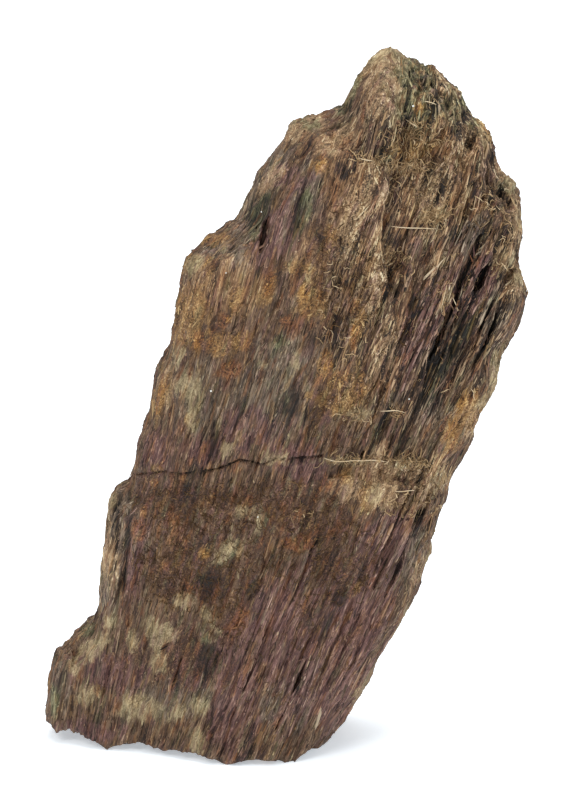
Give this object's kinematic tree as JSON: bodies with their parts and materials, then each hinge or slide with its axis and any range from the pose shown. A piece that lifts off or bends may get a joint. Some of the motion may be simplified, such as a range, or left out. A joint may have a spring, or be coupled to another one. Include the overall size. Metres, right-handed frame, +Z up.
{
  "type": "dumortierite crystal",
  "caption": "Natural hand specimen of fibrous violet-brown dumortierite: a leaning, splintery slab of parallel crystal needles that stands on its broken foot.",
  "frame": {"origin": "on the surface that the specimen stands on, under the middle of its bounding box", "axes": "+Z up; -Y is the fibrous front face that the picture shows; +X is to the right of that face, the way that the needles lean as they rise"},
  "size_m": [0.061, 0.027, 0.09],
  "materials": {
    "dumortierite": "rough and fibrous, dull to silky"
  },
  "bodies": {
    "root": {"dumortierite_mass": "dumortierite"}
  },
  "joints": []
}
